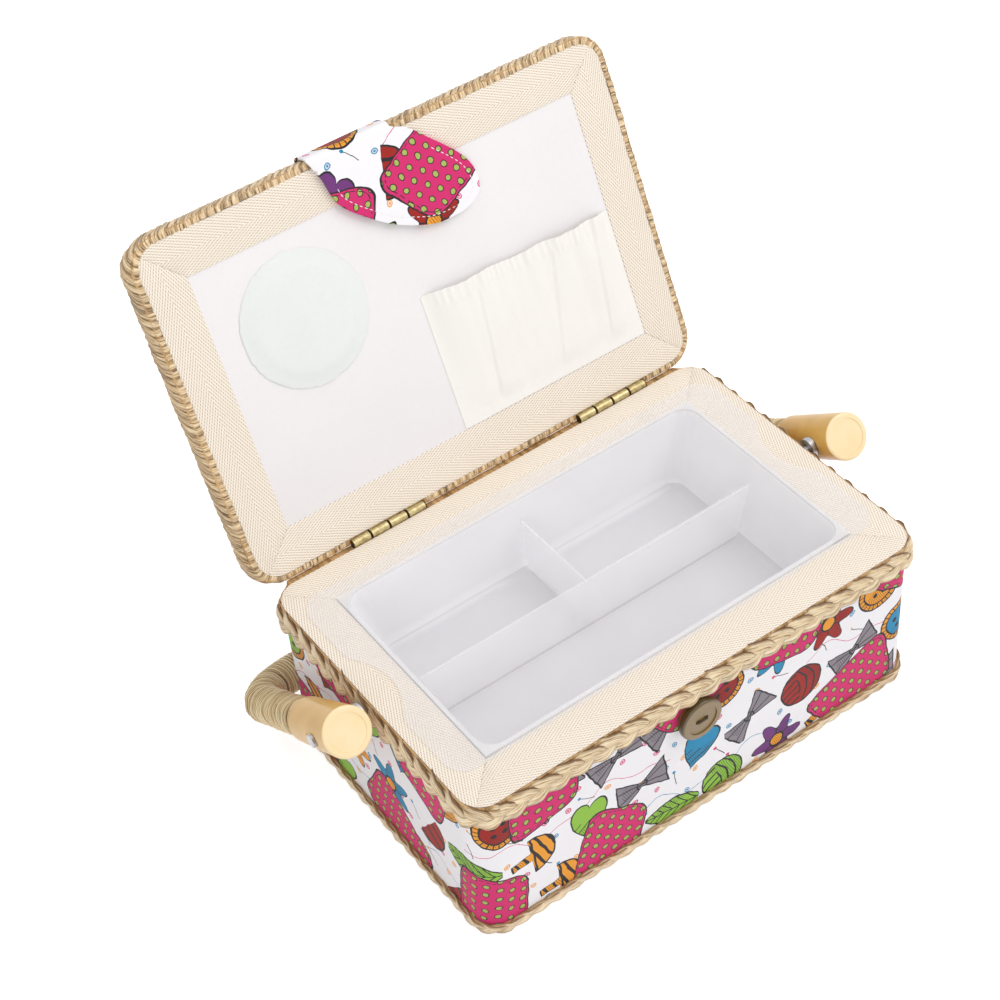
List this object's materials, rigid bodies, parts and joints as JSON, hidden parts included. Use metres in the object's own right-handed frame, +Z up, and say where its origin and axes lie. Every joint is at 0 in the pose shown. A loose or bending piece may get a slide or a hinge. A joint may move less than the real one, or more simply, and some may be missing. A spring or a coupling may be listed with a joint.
{
  "type": "sewing box",
  "caption": "Fabric covered sewing box with a padded hinged lid, lid pincushion and pocket, lift-out divided tray and a wrapped bail handle.",
  "frame": {"origin": "middle of the flat underside that the box stands on", "axes": "+Z up, +X along the length, -Y towards the front with the button; the lid's hinges are at +Y"},
  "size_m": [0.3294, 0.2691, 0.2663],
  "materials": {
    "board": "raw grey-brown board",
    "cover_print": "white cotton printed with small bright sewing motifs",
    "plain_lining": "smooth white non-woven cloth",
    "base_sheet": "plain pale cloth glued flat",
    "twill_tape": "cream cotton herringbone twill",
    "slat": "plain sawn softwood",
    "straw_braid": "plaited paper straw, slight sheen",
    "hinge_brass": "aged brass",
    "steel": "zinc plated",
    "foam": "soft white wadding",
    "cushion_felt": "soft pale brushed cloth",
    "pocket_cloth": "thin white non-woven cloth",
    "elastic": "white woven elastic",
    "button_shell": "olive brown, satin",
    "thread": "dark waxed thread",
    "cap_plastic": "satin honey gold moulding",
    "cord_wrap": "twisted paper cord wound tight",
    "core": "bent cane",
    "tray_plastic": "frosted clear, slightly blue",
    "magnet": "nickel plated disc"
  },
  "bodies": {
    "box": {"base_cover": "base_sheet", "floor_board": "board", "floor_lining": "plain_lining", "wall_front": "board", "wall_back": "board", "wall_left": "board", "wall_right": "board", "wall_corners": "board", "outer_cover": "cover_print", "inner_lining": "plain_lining", "rail_front": "slat", "rail_back": "slat", "rail_left": "slat", "rail_right": "slat", "rim_tape_front": "twill_tape", "rim_tape_back": "twill_tape", "rim_tape_left": "twill_tape", "rim_tape_right": "twill_tape", "top_braid": "straw_braid", "foot_braid": "straw_braid", "hinge_left_box_leaf": "hinge_brass", "hinge_right_box_leaf": "hinge_brass", "hinge_left_pin": "hinge_brass", "hinge_right_pin": "hinge_brass", "hinge_box_screws": "hinge_brass", "front_button": "button_shell", "button_thread": "thread", "clasp_ring": "steel", "pivot_screws": "steel", "pivot_spacers": "steel"},
    "lid": {"lid_board": "board", "lid_foam": "foam", "lid_cover": "cover_print", "lid_lining": "plain_lining", "lid_rope": "straw_braid", "lid_tape_front": "twill_tape", "lid_tape_back": "twill_tape", "lid_tape_left": "twill_tape", "lid_tape_right": "twill_tape", "pincushion": "cushion_felt", "pocket": "pocket_cloth", "pocket_elastic": "elastic", "hinge_left_lid_leaf": "hinge_brass", "hinge_right_lid_leaf": "hinge_brass", "hinge_lid_screws": "hinge_brass", "tab_strap": "cover_print"},
    "handle": {"handle_core": "core", "handle_wrap": "cord_wrap", "handle_cap_left": "cap_plastic", "handle_cap_right": "cap_plastic"},
    "tab_neck": {"tab_neck": "cover_print"},
    "tab_flap": {"tab_flap": "cover_print", "tab_magnet": "magnet"},
    "tray": {"tray": "tray_plastic"},
    "divider": {"tray_divider": "tray_plastic"}
  },
  "joints": [
    {"name": "lid_hinge", "type": "hinge", "parent": "box", "child": "lid", "pos_m": [0, 0.0877, 0.0978], "axis": [-1, 0, 0], "range_deg": [-114.5, 0]},
    {"name": "handle_swing", "type": "hinge", "parent": "box", "child": "handle", "pos_m": [0, 0, 0.0914], "axis": [1, 0, 0], "range_deg": [0, 41]},
    {"name": "tab_fold", "type": "hinge", "parent": "lid", "child": "tab_neck", "pos_m": [0, 0.16338, 0.26579], "axis": [-1, 0, 0], "range_deg": [0, 98]},
    {"name": "tab_peel", "type": "hinge", "parent": "tab_neck", "child": "tab_flap", "pos_m": [0, 0.15787, 0.2566], "axis": [-1, 0, 0], "range_deg": [0, 50]},
    {"name": "tray_lift", "type": "slide", "parent": "box", "child": "tray", "axis": [0, 0, 1], "range_m": [0, 0.08]},
    {"name": "divider_lift", "type": "slide", "parent": "tray", "child": "divider", "axis": [0, 0, 1], "range_m": [0, 0.05]}
  ],
  "couplings": [
    {"joint": "tab_fold", "follows": "lid_hinge", "ratio": -0.85589}
  ]
}
